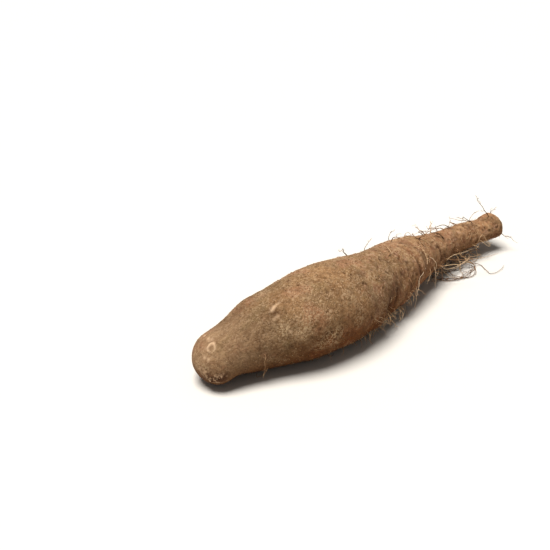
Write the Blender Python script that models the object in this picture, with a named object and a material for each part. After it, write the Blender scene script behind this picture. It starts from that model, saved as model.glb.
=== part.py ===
"""Mountain yam: one whole tuber lying on its side, with its main rootlets.

Units are metres and +Z is up. The tuber's long axis runs along +X, from the fat growing tip to the thin
neck, and the origin is on the ground under the middle of the part's box.
"""

import math
import random

import bmesh
import bpy
import numpy as np
from mathutils import Vector, noise

MM = 0.001

# Driving dimensions of the body
BODY_LENGTH = 254 * MM
TIP_ROUND = 15 * MM
END_ROUND = 3.5 * MM
SCAR_DEPTH = 1.6 * MM

# The middle of the part's box, measured from the growing tip
MIDDLE_X = 129.9 * MM
MIDDLE_Y = -2.1 * MM

# Sections across the body, in millimetres: distance from the tip, sideways place of the middle, half width,
# height of the underside and height of the top. Where the underside is below the ground the body lies flat.
SECTIONS = (
    (0, -2.2, 14.8, 0.4, 29.2),
    (16, -2.2, 16.5, -0.3, 31.0),
    (30, -3.5, 19.2, 0.2, 36.8),
    (42, -5.4, 21.6, 0.2, 41.8),
    (58, -8.0, 24.2, -0.3, 46.4),
    (76, -9.8, 25.7, -0.9, 48.8),
    (95, -10.4, 25.5, -1.1, 48.4),
    (117, -8.2, 22.6, -0.8, 45.4),
    (137, -3.4, 19.6, 1.2, 42.0),
    (156, 0.6, 17.4, 3.2, 38.4),
    (175, 4.6, 14.6, 4.8, 33.6),
    (197, 8.8, 10.8, 6.0, 26.4),
    (213, 11.0, 9.4, 6.4, 24.0),
    (225, 11.4, 8.9, 6.6, 22.6),
    (243, 10.8, 8.7, 6.9, 21.4),
    (254, 9.8, 9.8, 6.9, 24.3),
)

# Swellings and hollows of the body, in millimetres: the place from the tip, height (below zero for a hollow)
# and reach
LUMPS = (
    (5, -14, 5, 1.4, 7),
    (21, -11, 2, -2.6, 9),
    (26, 4, 32, -4.2, 8),
    (38, 8, 39, 1.0, 7),
    (53, 2, 45, -1.0, 8),
    (64, -30, 16, 1.0, 16),
    (107, -34, 15, -2.6, 7),
    (113, -32, 13, 1.2, 6),
    (124, -28, 15, -3.4, 6.5),
    (142, -20, 14, 2.2, 9),
    (112, 0, 2, 1.0, 17),
    (88, 10, 44, 0.8, 15),
    (134, 8, 38, -0.8, 12),
    (160, -14, 26, 0.8, 14),
    (186, 8, 30, -0.8, 9),
    (220, 7, 22, 0.7, 5),
)

# Slow unevenness of the body: height and width of its waves
WAVES = ((0.75 * MM, 26 * MM), (0.32 * MM, 11 * MM))

# Share of the rows of faces that rounds each end
TIP_SHARE = 0.10
END_SHARE = 0.06

BODY_ROWS = 60
BODY_SIDES = 36

# Rootlets: thickness at the root and its share left at the far end, how deep the root sits in the body, the
# spacing of their points, and the least height of their middles above the ground
ROOTLET_RADIUS = 0.55 * MM
ROOTLET_END_SHARE = 0.75
ROOTLET_SINK = 1.8 * MM
ROOTLET_STEP = 2.4 * MM
ROOTLET_LEAST_POINTS = 5
GROUND_GAP = 0.8 * MM

# Long rootlets that hang free: distance from the tip, angle round the body (0 at +Y, 90 at the top), how far
# the far end lies from the root along X, Y and Z, and how far the middle bows out from the skin, in mm
FREE_ROOTLETS = (
    (178.5, 174, 1.5, -0.5, -18.5, 3),
    (155, 177, -1.5, 1, -20.5, 2.5),
    (182, 190, 20, -10, 0, 5),
    (194, 190, 34, -14, -2, 6),
    (210, 218, 0, -5, -9, 3),
    (212, 205, 6, -7, -8, 3),
    (222, 240, 12, -5, -6, 3),
    (251, 200, 9, -7, -7, 2),
    (248, 90, -12, 3, 18, 3),
    (249, 80, 8, 1, 3, 2),
    (234, 75, -9, 5, 4, 3),
    (190, 72, -6, 4, 6, 4),
    (197, 62, 5, 6, 5, 4),
    (204, 78, -9, 2, 5, 3),
    (202, 20, 8, 12, -9, 5),
    (224, 350, -9, 11, -7, 4),
    (181, 340, -12, 10, -13, 5),
    (128, 220, 3, -5, -8, 3),
    (137, 212, -5, -5, -6, 3),
    (30.5, 165, 0.3, -0.5, -18, 1.4),
)

# Rootlets that lie along the skin: more of them towards the neck, where the longest are longer too
SKIN_ROOTLET_COUNT = 42
SKIN_ROOTLET_FIRST_X = 100 * MM
SKIN_ROOTLET_LAST_X = 238 * MM
SKIN_ROOTLET_CROWDING = 0.75
SKIN_ROOTLET_SHORTEST = 8 * MM
SKIN_ROOTLET_LONGEST = 12 * MM
SKIN_ROOTLET_EXTRA_AT_NECK = 9 * MM
SKIN_ROOTLET_STAND_OFF = (1.5 * MM, 3.0 * MM)
SKIN_ROOTLET_MOST_BEND = 1.6
SKIN_ROOTLET_ANGLE_PLAY = 0.3
GOLDEN_TURN = math.pi * (3 - math.sqrt(5))
SEED = 7


def clear_scene():
    """Remove every object that the file opened with."""
    for old_object in list(bpy.data.objects):
        bpy.data.objects.remove(old_object, do_unlink=True)


def new_collection(name):
    """Make a collection under the scene's own."""
    collection = bpy.data.collections.new(name)
    bpy.context.scene.collection.children.link(collection)
    return collection


def skin_material():
    """Dry brown skin with soil on it."""
    material = bpy.data.materials.new("yam_skin")
    material.use_nodes = True
    shader = material.node_tree.nodes["Principled BSDF"]
    shader.inputs["Base Color"].default_value = (0.27, 0.165, 0.095, 1.0)
    shader.inputs["Roughness"].default_value = 0.9
    shader.inputs["Metallic"].default_value = 0.0
    return material


def smooth_through(stations, values, where):
    """Run a smooth curve through the values at the stations and read it at the places asked for."""
    slopes = np.gradient(values, stations)
    where = np.clip(where, stations[0], stations[-1])
    index = np.clip(np.searchsorted(stations, where, side="right") - 1, 0, len(stations) - 2)
    width = stations[index + 1] - stations[index]
    part = (where - stations[index]) / width
    rest = 1.0 - part
    return (
        values[index] * (1 + 2 * part) * rest**2
        + values[index + 1] * (3 - 2 * part) * part**2
        + slopes[index] * width * part * rest**2
        - slopes[index + 1] * width * rest * part**2
    )


def along_body(share):
    """Turn a share of the rows, 0 at the tip and 1 at the neck's end, into X and how full the section is."""
    tip_turn = np.clip(share / TIP_SHARE, 0, 1) * math.pi / 2
    end_turn = np.clip((1 - share) / END_SHARE, 0, 1) * math.pi / 2
    middle = np.clip((share - TIP_SHARE) / (1 - TIP_SHARE - END_SHARE), 0, 1)
    x = TIP_ROUND + middle * (BODY_LENGTH - TIP_ROUND - END_ROUND)
    x = x - TIP_ROUND * np.cos(tip_turn) + END_ROUND * np.cos(end_turn)
    fullness = np.sin(tip_turn) * np.sin(end_turn)
    hollow = SCAR_DEPTH * np.clip(1 - np.sin(end_turn) / 0.8, 0, 1) ** 0.5
    return x - hollow, fullness


def plain_form(share, angle):
    """Give the point of the plain body, before its lumps, for a share of the rows and an angle round it."""
    x, fullness = along_body(share)
    stations, *columns = np.array(SECTIONS, dtype=float).T * MM
    middle_y, half_width, low, top = (smooth_through(stations, column, x) for column in columns)
    y = middle_y + half_width * fullness * np.cos(angle)
    z = (low + top) / 2 + (top - low) / 2 * fullness * np.sin(angle)
    return np.stack((x, y, z), axis=-1)


def outward(share, angle):
    """Give the plain body's outward direction at a share of the rows and an angle round it."""
    small = 0.002
    inside_share = np.clip(share, 2 * small, 1 - 2 * small)
    lengthways = plain_form(inside_share + small, angle) - plain_form(inside_share - small, angle)
    round_body = plain_form(inside_share, angle + small) - plain_form(inside_share, angle - small)
    direction = np.cross(round_body, lengthways)
    return direction / np.linalg.norm(direction, axis=-1, keepdims=True)


def body_form(share, angle):
    """Give the body's points, with its lumps and waves, and lay it flat on the ground."""
    points = plain_form(share, angle)
    height = np.zeros(points.shape[:-1])
    for x, y, z, lump_height, reach in LUMPS:
        away = np.linalg.norm(points - np.array((x, y, z)) * MM, axis=-1)
        height = height + lump_height * MM * np.exp(-((away / (reach * MM)) ** 2))
    for wave_height, wave_width in WAVES:
        waves = [noise.noise(Vector(point) / wave_width) for point in points.reshape(-1, 3)]
        height = height + wave_height * np.array(waves).reshape(height.shape)
    points = points + outward(share, angle) * height[..., None]
    points[..., 2] = np.maximum(points[..., 2], 0.0)
    return points - np.array((MIDDLE_X, MIDDLE_Y, 0.0))


def share_at(x):
    """Give the share of the rows at a distance from the tip, between the rounded ends."""
    middle = (x - TIP_ROUND) / (BODY_LENGTH - TIP_ROUND - END_ROUND)
    return TIP_SHARE + np.clip(middle, 0, 1) * (1 - TIP_SHARE - END_SHARE)


def make_body(collection):
    """Shape a sphere, its poles at the tip and at the neck's end, into the body."""
    mesh_data = bpy.data.meshes.new("tuber")
    shape = bmesh.new()
    bmesh.ops.create_uvsphere(shape, u_segments=BODY_SIDES, v_segments=BODY_ROWS, radius=1.0)
    directions = np.array([vertex.co.normalized() for vertex in shape.verts])
    share = np.arccos(np.clip(-directions[:, 2], -1, 1)) / math.pi
    angle = np.arctan2(directions[:, 0], directions[:, 1])
    for vertex, point in zip(shape.verts, body_form(share, angle)):
        vertex.co = point
    bmesh.ops.recalc_face_normals(shape, faces=shape.faces)
    shape.to_mesh(mesh_data)
    shape.free()
    body = bpy.data.objects.new("tuber", mesh_data)
    collection.objects.link(body)
    return body


def point_count(length):
    """Give the number of points for a rootlet of this length."""
    return max(ROOTLET_LEAST_POINTS, round(length / ROOTLET_STEP) + 2)


def free_rootlet_points(x, angle, reach, bow):
    """Give the points of a rootlet that leaves the skin squarely and ends free, on one bent curve."""
    share = share_at(x)
    root = body_form(np.array([share]), np.array([angle]))[0]
    normal = outward(np.array([share]), np.array([angle]))[0]
    start = root - normal * ROOTLET_SINK
    end = root + reach
    bend = root + normal * bow + reach * 0.25
    length = np.linalg.norm(reach) + bow
    part = np.linspace(0, 1, point_count(length))[:, None]
    points = start * (1 - part) ** 2 + 2 * bend * part * (1 - part) + end * part**2
    points[:, 2] = np.maximum(points[:, 2], GROUND_GAP)
    return points


def skin_rootlet_points(x, angle, length, heading, stand_off, bend):
    """Give the points of a rootlet that curls over the skin, heading 0 towards the neck."""
    part = np.linspace(0, 1, point_count(length))
    stations, _, half_widths, _, _ = np.array(SECTIONS, dtype=float).T * MM
    half_width = smooth_through(stations, half_widths, np.array([x]))[0]
    turn = heading + bend * part
    x_path = x + length * part * np.cos(turn)
    angle_path = angle + length * part * np.sin(turn) / half_width
    share = share_at(x_path)
    normal = outward(share, angle_path)
    height = -ROOTLET_SINK + (ROOTLET_SINK + stand_off) * np.sin(np.clip(part * 2.2, 0, 1) * math.pi / 2)
    height = height + stand_off * part**3
    points = body_form(share, angle_path) + normal * height[:, None]
    points[1:, 2] = np.maximum(points[1:, 2], GROUND_GAP)
    return points


def add_rootlet(name, points, collection):
    """Make one rootlet: a thin tube along the points, a little thinner at its far end."""
    curve = bpy.data.curves.new(name, "CURVE")
    curve.dimensions = "3D"
    curve.bevel_depth = ROOTLET_RADIUS
    curve.bevel_resolution = 0
    curve.use_fill_caps = True
    spline = curve.splines.new("POLY")
    spline.points.add(len(points) - 1)
    for number, point in enumerate(points):
        spline.points[number].co = (*point, 1.0)
        part = number / (len(points) - 1)
        spline.points[number].radius = 1 - (1 - ROOTLET_END_SHARE) * part
    tube = bpy.data.objects.new(name + "_curve", curve)
    collection.objects.link(tube)
    bpy.context.view_layer.update()

    evaluated = tube.evaluated_get(bpy.context.evaluated_depsgraph_get())
    mesh_data = bpy.data.meshes.new_from_object(evaluated)
    shape = bmesh.new()
    shape.from_mesh(mesh_data)
    bmesh.ops.remove_doubles(shape, verts=shape.verts, dist=0.00001)
    bmesh.ops.recalc_face_normals(shape, faces=shape.faces)
    shape.to_mesh(mesh_data)
    shape.free()
    rootlet = bpy.data.objects.new(name, mesh_data)
    rootlet.matrix_world = tube.matrix_world
    rootlet.hide_render = True
    rootlet.display_type = "WIRE"
    collection.objects.link(rootlet)
    bpy.data.objects.remove(tube, do_unlink=True)


def make_rootlets(collection):
    """Make the long free rootlets, then the shorter ones along the skin, which the neck has most of."""
    for number, (x, angle, *reach, bow) in enumerate(FREE_ROOTLETS):
        points = free_rootlet_points(x * MM, math.radians(angle), np.array(reach) * MM, bow * MM)
        add_rootlet(f"free_rootlet_{number}", points, collection)
    draw = random.Random(SEED)
    for number in range(SKIN_ROOTLET_COUNT):
        part = ((number + 0.5) / SKIN_ROOTLET_COUNT) ** SKIN_ROOTLET_CROWDING
        x = SKIN_ROOTLET_FIRST_X + part * (SKIN_ROOTLET_LAST_X - SKIN_ROOTLET_FIRST_X)
        angle = number * GOLDEN_TURN + draw.uniform(-SKIN_ROOTLET_ANGLE_PLAY, SKIN_ROOTLET_ANGLE_PLAY)
        longest = SKIN_ROOTLET_LONGEST + SKIN_ROOTLET_EXTRA_AT_NECK * part
        length = draw.uniform(SKIN_ROOTLET_SHORTEST, longest)
        heading = draw.uniform(-math.pi, math.pi)
        stand_off = draw.uniform(*SKIN_ROOTLET_STAND_OFF)
        bend = draw.uniform(-SKIN_ROOTLET_MOST_BEND, SKIN_ROOTLET_MOST_BEND)
        points = skin_rootlet_points(x, angle, length, heading, stand_off, bend)
        add_rootlet(f"skin_rootlet_{number}", points, collection)


def fuse_rootlets(body, rootlets):
    """Join the body and the rootlets into one closed solid, then remove the loose rootlets."""
    union = body.modifiers.new("rootlets", "BOOLEAN")
    union.operation = "UNION"
    union.operand_type = "COLLECTION"
    union.collection = rootlets
    union.solver = "EXACT"
    bpy.context.view_layer.update()
    evaluated = body.evaluated_get(bpy.context.evaluated_depsgraph_get())
    fused = bpy.data.meshes.new_from_object(evaluated)
    body.modifiers.clear()
    body.data = fused
    fused.name = "tuber"
    for rootlet in list(rootlets.objects):
        bpy.data.objects.remove(rootlet, do_unlink=True)


def build():
    """Make the whole part."""
    clear_scene()
    parts = new_collection("mountain_yam")
    rootlets = new_collection("rootlets")
    body = make_body(parts)
    make_rootlets(rootlets)
    fuse_rootlets(body, rootlets)
    body.data.materials.clear()
    body.data.materials.append(skin_material())
    body.data.shade_smooth()


build()
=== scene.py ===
"""Mountain yam: the looks of one whole tuber, its rootlets, hairs and dry soil, on a plain pale floor."""

import math
import random

import bpy
import numpy as np
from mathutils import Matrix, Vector, kdtree, noise


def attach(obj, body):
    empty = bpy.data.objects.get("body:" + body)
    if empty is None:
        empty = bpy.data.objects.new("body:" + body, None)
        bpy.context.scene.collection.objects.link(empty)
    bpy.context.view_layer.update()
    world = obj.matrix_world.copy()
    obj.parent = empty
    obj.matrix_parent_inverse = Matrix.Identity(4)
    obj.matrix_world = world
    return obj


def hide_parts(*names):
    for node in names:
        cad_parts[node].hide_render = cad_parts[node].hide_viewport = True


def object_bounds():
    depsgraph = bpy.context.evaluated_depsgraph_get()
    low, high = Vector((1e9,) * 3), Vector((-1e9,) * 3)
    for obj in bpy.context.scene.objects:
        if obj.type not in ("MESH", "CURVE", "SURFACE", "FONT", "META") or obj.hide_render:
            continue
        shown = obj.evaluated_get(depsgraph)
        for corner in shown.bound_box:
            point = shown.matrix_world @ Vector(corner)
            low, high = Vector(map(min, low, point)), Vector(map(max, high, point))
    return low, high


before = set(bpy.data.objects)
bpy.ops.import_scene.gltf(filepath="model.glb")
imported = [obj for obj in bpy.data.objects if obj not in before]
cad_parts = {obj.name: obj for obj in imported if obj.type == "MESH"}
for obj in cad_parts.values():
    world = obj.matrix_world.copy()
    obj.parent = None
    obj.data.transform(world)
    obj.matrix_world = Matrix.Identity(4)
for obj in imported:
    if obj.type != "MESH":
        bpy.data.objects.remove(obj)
cad_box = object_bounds()

MM = 0.001

# The body's form, the same as the solid's
BODY_LENGTH = 254 * MM
TIP_ROUND = 15 * MM
END_ROUND = 3.5 * MM
SCAR_DEPTH = 1.6 * MM
MIDDLE_X = 129.9 * MM
MIDDLE_Y = -2.1 * MM
TIP_SHARE = 0.10
END_SHARE = 0.06

# Sections across the body, in millimetres: distance from the tip, sideways place of the middle, half width,
# height of the underside and height of the top. Where the underside is below the ground the body lies flat.
SECTIONS = (
    (0, -2.2, 14.8, 0.4, 29.2),
    (16, -2.2, 16.5, -0.3, 31.0),
    (30, -3.5, 19.2, 0.2, 36.8),
    (42, -5.4, 21.6, 0.2, 41.8),
    (58, -8.0, 24.2, -0.3, 46.4),
    (76, -9.8, 25.7, -0.9, 48.8),
    (95, -10.4, 25.5, -1.1, 48.4),
    (117, -8.2, 22.6, -0.8, 45.4),
    (137, -3.4, 19.6, 1.2, 42.0),
    (156, 0.6, 17.4, 3.2, 38.4),
    (175, 4.6, 14.6, 4.8, 33.6),
    (197, 8.8, 10.8, 6.0, 26.4),
    (213, 11.0, 9.4, 6.4, 24.0),
    (225, 11.4, 8.9, 6.6, 22.6),
    (243, 10.8, 8.7, 6.9, 21.4),
    (254, 9.8, 9.8, 6.9, 24.3),
)

# Swellings and hollows of the body, in millimetres: the place from the tip, height (below zero for a hollow)
# and reach
LUMPS = (
    (5, -14, 5, 1.4, 7),
    (21, -11, 2, -2.6, 9),
    (26, 4, 32, -4.2, 8),
    (38, 8, 39, 1.0, 7),
    (53, 2, 45, -1.0, 8),
    (64, -30, 16, 1.0, 16),
    (107, -34, 15, -2.6, 7),
    (113, -32, 13, 1.2, 6),
    (124, -28, 15, -3.4, 6.5),
    (142, -20, 14, 2.2, 9),
    (112, 0, 2, 1.0, 17),
    (88, 10, 44, 0.8, 15),
    (134, 8, 38, -0.8, 12),
    (160, -14, 26, 0.8, 14),
    (186, 8, 30, -0.8, 9),
    (220, 7, 22, 0.7, 5),
)

# Slow unevenness of the body: height and width of its waves
WAVES = ((0.75 * MM, 26 * MM), (0.32 * MM, 11 * MM))

# Rootlets, as on the solid
ROOTLET_SINK = 1.8 * MM
GROUND_GAP = 0.8 * MM
FREE_ROOTLETS = (
    (178.5, 174, 1.5, -0.5, -18.5, 3),
    (155, 177, -1.5, 1, -20.5, 2.5),
    (182, 190, 20, -10, 0, 5),
    (194, 190, 34, -14, -2, 6),
    (210, 218, 0, -5, -9, 3),
    (212, 205, 6, -7, -8, 3),
    (222, 240, 12, -5, -6, 3),
    (251, 200, 9, -7, -7, 2),
    (248, 90, -12, 3, 18, 3),
    (249, 80, 8, 1, 3, 2),
    (234, 75, -9, 5, 4, 3),
    (190, 72, -6, 4, 6, 4),
    (197, 62, 5, 6, 5, 4),
    (204, 78, -9, 2, 5, 3),
    (202, 20, 8, 12, -9, 5),
    (224, 350, -9, 11, -7, 4),
    (181, 340, -12, 10, -13, 5),
    (128, 220, 3, -5, -8, 3),
    (137, 212, -5, -5, -6, 3),
    (30.5, 165, 0.3, -0.5, -18, 1.4),
)
SKIN_ROOTLET_COUNT = 42
SKIN_ROOTLET_FIRST_X = 100 * MM
SKIN_ROOTLET_LAST_X = 238 * MM
SKIN_ROOTLET_CROWDING = 0.75
SKIN_ROOTLET_SHORTEST = 8 * MM
SKIN_ROOTLET_LONGEST = 12 * MM
SKIN_ROOTLET_EXTRA_AT_NECK = 9 * MM
SKIN_ROOTLET_STAND_OFF = (1.5 * MM, 3.0 * MM)
SKIN_ROOTLET_MOST_BEND = 1.6
SKIN_ROOTLET_ANGLE_PLAY = 0.3
GOLDEN_TURN = math.pi * (3 - math.sqrt(5))
SEED = 7

# The skin's mesh
SKIN_ROWS = 434
SKIN_SIDES = 228

# How light the skin is along the body: millimetres from the tip, and a share of its usual colour
LIGHTNESS = (
    (0, 0.88),
    (8, 0.87),
    (18, 0.79),
    (40, 0.86),
    (53, 0.99),
    (68, 1.11),
    (84, 1.18),
    (98, 1.13),
    (112, 0.99),
    (127, 1.00),
    (143, 1.08),
    (160, 1.18),
    (172, 1.19),
    (188, 1.02),
    (202, 0.96),
    (217, 0.95),
    (235, 1.10),
    (254, 0.98),
)

# The facing that the painted shade of the lower sides starts and ends at, in degrees above level, and how
# much lower at the tip
PAINTED_SHADE_BAND = (45, -30)
PAINTED_SHADE_SHIFT_AT_TIP = 20

# How much brighter than its own colour a surface looks in the scene's full light, for red, green and blue
LIGHT_LEVEL = (1.46, 1.55, 1.83)

# How the warm brown painted shade of the lower sides darkens the skin's red, green and blue
PAINTED_SHADE_TINT = (0.43, 0.27, 0.12, 1.0)

# The photograph's camera
LENS = 85.0
SENSOR = 36.0
CAMERA_FROM_TIP = (-0.3413, -0.4926, 0.4174)
CAMERA_AZIMUTH = -39.0
CAMERA_ELEVATION = 30.0


def smooth_through(stations, values, where):
    """Run a smooth curve through the values at the stations and read it at the places asked for."""
    slopes = np.gradient(values, stations)
    where = np.clip(where, stations[0], stations[-1])
    index = np.clip(np.searchsorted(stations, where, side="right") - 1, 0, len(stations) - 2)
    width = stations[index + 1] - stations[index]
    part = (where - stations[index]) / width
    rest = 1.0 - part
    return (
        values[index] * (1 + 2 * part) * rest**2
        + values[index + 1] * (3 - 2 * part) * part**2
        + slopes[index] * width * part * rest**2
        - slopes[index + 1] * width * rest * part**2
    )


def bell(away, width):
    """Fall smoothly from 1 to 0 with the distance, within about this width."""
    return np.exp(-((away / width) ** 2))


def section_at(x):
    """Give the body's sideways middle, half width, underside and top at distances from the tip."""
    stations, *columns = np.array(SECTIONS, dtype=float).T * MM
    return [smooth_through(stations, column, x) for column in columns]


def along_body(share):
    """Turn a share of the rows, 0 at the tip and 1 at the neck's end, into X and how full the section is."""
    tip_turn = np.clip(share / TIP_SHARE, 0, 1) * math.pi / 2
    end_turn = np.clip((1 - share) / END_SHARE, 0, 1) * math.pi / 2
    middle = np.clip((share - TIP_SHARE) / (1 - TIP_SHARE - END_SHARE), 0, 1)
    x = TIP_ROUND + middle * (BODY_LENGTH - TIP_ROUND - END_ROUND)
    x = x - TIP_ROUND * np.cos(tip_turn) + END_ROUND * np.cos(end_turn)
    fullness = np.sin(tip_turn) * np.sin(end_turn)
    hollow = SCAR_DEPTH * np.clip(1 - np.sin(end_turn) / 0.8, 0, 1) ** 0.5
    return x - hollow, fullness


def plain_form(share, angle):
    """Give the point of the plain body, before its lumps, for a share of the rows and an angle round it."""
    x, fullness = along_body(share)
    middle_y, half_width, low, top = section_at(x)
    y = middle_y + half_width * fullness * np.cos(angle)
    z = (low + top) / 2 + (top - low) / 2 * fullness * np.sin(angle)
    return np.stack((x, y, z), axis=-1)


def outward(share, angle):
    """Give the plain body's outward direction at a share of the rows and an angle round it."""
    small = 0.002
    inside_share = np.clip(share, 2 * small, 1 - 2 * small)
    lengthways = plain_form(inside_share + small, angle) - plain_form(inside_share - small, angle)
    round_body = plain_form(inside_share, angle + small) - plain_form(inside_share, angle - small)
    direction = np.cross(round_body, lengthways)
    return direction / np.linalg.norm(direction, axis=-1, keepdims=True)


def waves_at(points, width, stretch=(1, 1, 1), offset=0.0):
    """Give smooth noise from -1 to 1 at the points, with waves of this width, stretched along the axes."""
    scaled = points.reshape(-1, 3) / (np.array(stretch) * width) + offset
    return np.array([noise.noise(Vector(point)) for point in scaled]).reshape(points.shape[:-1])


def body_height(points):
    """Give how far the lumps and waves raise the plain body at these points."""
    height = np.zeros(points.shape[:-1])
    for x, y, z, lump_height, reach in LUMPS:
        away = np.linalg.norm(points - np.array((x, y, z)) * MM, axis=-1)
        height = height + lump_height * MM * bell(away, reach * MM)
    for wave_height, wave_width in WAVES:
        height = height + wave_height * waves_at(points, wave_width)
    return height


def laid_on_ground(points):
    """Lay points flat where they would go below the ground, and move them to the part's own frame."""
    points = points.copy()
    points[..., 2] = np.maximum(points[..., 2], 0.0)
    return points - np.array((MIDDLE_X, MIDDLE_Y, 0.0))


def body_form(share, angle):
    """Give the body's points, with its lumps and waves."""
    points = plain_form(share, angle)
    return laid_on_ground(points + outward(share, angle) * body_height(points)[..., None])


def share_at(x):
    """Give the share of the rows at a distance from the tip, between the rounded ends."""
    middle = (x - TIP_ROUND) / (BODY_LENGTH - TIP_ROUND - END_ROUND)
    return TIP_SHARE + np.clip(middle, 0, 1) * (1 - TIP_SHARE - END_SHARE)


def ramp(value, low, high):
    """Rise smoothly from 0 at low to 1 at high."""
    part = np.clip((value - low) / (high - low), 0, 1)
    return part * part * (3 - 2 * part)


# Marks on the skin, in millimetres from the tip: scars, worn places, dents and crusts
RING_SCAR = (7.3, -6.8, 26.7)
RING_SCAR_RADIUS = 2.1
RING_SCAR_GAP = (5.7, -8.4, 25.2)
PALE_SPOTS = (
    (10.5, 4.3, 28.0, 0.9),
    (9.3, -0.8, 28.9, 0.7),
    (2.7, -6.4, 21.9, 1.1),
    (3.5, -8.7, 21.2, 1.0),
    (47.1, -26.0, 31.4, 0.7),
    (72.0, -31.4, 37.4, 0.7),
    (58.0, -12.0, 46.0, 0.6),
    (90.0, 14.0, 38.0, 0.9),
    (61.0, 12.0, 36.0, 0.8),
    (12.0, 10.0, 18.0, 0.9),
)
CRUSTS = (
    (1.0, -7.0, 13.4, 2.6, 0.9),
    (0.6, -4.5, 15.5, 2.0, 0.9),
    (9.5, -2.0, 28.6, 1.8, 0.9),
    (1.5, 6.0, 12.0, 3.0, 0.9),
    (20.0, 14.0, 22.0, 3.0, 0.9),
)
DUST_PATCHES = (
    (1.6, -7.5, 16.5, 2.2, 0.7),
    (2.5, 1.4, 21.7, 2.6, 0.6),
    (0.1, -2.6, 16.1, 2.6, 0.6),
    (43.8, -24.6, 31.8, 5.0, 0.9),
    (53.7, -30.0, 30.4, 5.0, 0.9),
    (72.3, -35.7, 22.5, 6.0, 1.0),
    (60.4, -29.0, 37.0, 4.0, 0.8),
    (95.0, 12.0, 30.0, 6.0, 0.9),
    (110.0, -23.4, 41.3, 4.0, 1.0),
    (130.0, 16.0, 20.0, 6.0, 0.9),
)
WORN_STROKES = (
    ((43.4, -14.6, 40.4), (46.0, -13.6, 41.8), 0.95, 1.0),
    ((46.0, -13.6, 41.8), (49.8, -14.0, 43.0), 0.50, 0.8),
    ((42.0, -18.8, 37.2), (44.6, -18.8, 38.4), 0.80, 0.4),
    ((96.0, 12.0, 38.0), (108.0, 13.0, 34.0), 0.90, 0.6),
    ((140.0, -8.0, 39.0), (146.0, -6.0, 39.2), 0.60, 0.4),
)
DENTS = (
    ((40.2, -16.0, 38.3), (48.6, -19.3, 39.6), 2.2, 0.55),
    ((27.0, 10.0, 31.0), (33.0, 2.0, 37.0), 3.0, 0.5),
    ((98.0, -24.0, 39.0), (106.0, -29.0, 31.0), 3.5, 0.6),
    ((118.0, -26.0, 30.0), (124.0, -28.0, 20.0), 2.5, 0.6),
)
CREASES = (
    ((117.9, -5.1, 44.9), (120.1, -13.3, 44.1), 0.6, 0.5),
    ((127.9, -12.0, 42.2), (134.7, -15.1, 38.7), 0.7, 0.8),
    ((145.4, -14.1, 35.7), (150.6, -15.2, 32.6), 0.6, 0.6),
    ((29.7, -21.8, 23.6), (30.5, -21.0, 28.0), 0.5, 0.5),
    ((104.0, 8.0, 38.0), (112.0, 11.0, 34.0), 0.7, 0.7),
    ((150.0, 14.0, 26.0), (158.0, 15.0, 22.0), 0.6, 0.7),
    ((186.0, -2.0, 26.0), (189.0, -3.5, 22.0), 0.5, 0.6),
    ((134.2, -23.7, 26.0), (133.7, -24.3, 22.5), 0.7, 0.9),
    ((120.1, -17.6, 42.4), (118.5, -20.0, 41.0), 0.5, 0.7),
)
DARK_SPOTS = (
    (133.0, -7.5, 42.2, 1.6, 0.5),
    (142.6, -9.4, 39.6, 0.9, 0.8),
    (138.1, -19.5, 32.6, 1.2, 0.9),
    (139.2, -20.2, 30.7, 0.9, 0.9),
    (121.2, -24.4, 36.3, 0.9, 0.7),
    (144.4, -19.9, 27.4, 0.9, 0.7),
    (184.7, -3.4, 25.7, 0.9, 0.9),
    (166.9, -8.9, 31.2, 0.9, 0.7),
    (109.4, -28.7, 36.1, 1.6, 0.5),
    (217.9, 4.0, 20.4, 1.4, 0.5),
    (242.0, 2.1, 13.7, 0.9, 0.8),
    (237.5, 4.8, 18.8, 1.6, 0.4),
)
RUST_PATCHES = (
    (69.3, -35.1, 19.5, 4.0, 1.0),
    (62.0, -32.5, 15.0, 6.0, 0.6),
    (110.0, -30.0, 12.0, 9.0, 0.45),
    (128.0, -22.0, 14.0, 11.0, 0.45),
    (86.0, -34.0, 12.0, 8.0, 0.7),
    (38.8, -16.9, 6.0, 5.0, 0.6),
    (160.0, -13.0, 15.0, 10.0, 0.4),
    (120.0, 14.0, 16.0, 12.0, 0.7),
    (70.0, 14.0, 14.0, 12.0, 0.5),
)
GROWTH_NUB = ((3.4, -10.6, 10.2), (8.2, -15.0, 10.8))
GROWTH_NUB_REACH = 3.2

# Heights and depths of the skin's relief, in millimetres
BROAD_HEIGHT = 0.22
MIDDLING_HEIGHT = 0.18
GRAINY_HEIGHT = 0.16
KNOB_HEIGHT = 0.34
FOLD_HEIGHT = 1.1
FINE_CREASE_DEPTH = 0.12
FURROW_DEPTH = 0.30
PIT_DEPTH = 0.60
COLLAR_HEIGHT = 0.25
RING_HEIGHT = 0.45
WORN_DEPTH = 0.10

# How deep creases and dark spots are at full strength, in millimetres, and how dark each kind of mark is; the
# darkness of creases and dents is painted shade
CREASE_DEPTH = 0.5
CREASE_SHADE = 2.5
DENT_SHADE = 0.22
DARK_SPOT_DEPTH = 0.35
DARK_SPOT_DARKNESS = 0.9

# Places where rootlets broke off: how many, how they crowd towards the neck, and the size of their pits
SCAR_COUNT = 300
SCAR_FIRST_X = 60
SCAR_LAST_X = 249
SCAR_CROWDING = 0.85
SCAR_SMALLEST = 1.0
SCAR_LARGEST = 1.8


def on_skin(place):
    """Move a place near the body, in millimetres, to the nearest point of the plain body, in metres."""
    x, y, z = np.array(place) * MM
    near_share = share_at(x) if x > TIP_ROUND else TIP_SHARE / 2
    share = np.clip(near_share + np.linspace(-0.06, 0.06, 41), 0, 1)
    share, angle = np.meshgrid(share, np.linspace(0, 2 * math.pi, 181))
    points = plain_form(share, angle).reshape(-1, 3)
    return points[np.argmin(np.linalg.norm(points - (x, y, z), axis=-1))]


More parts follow.
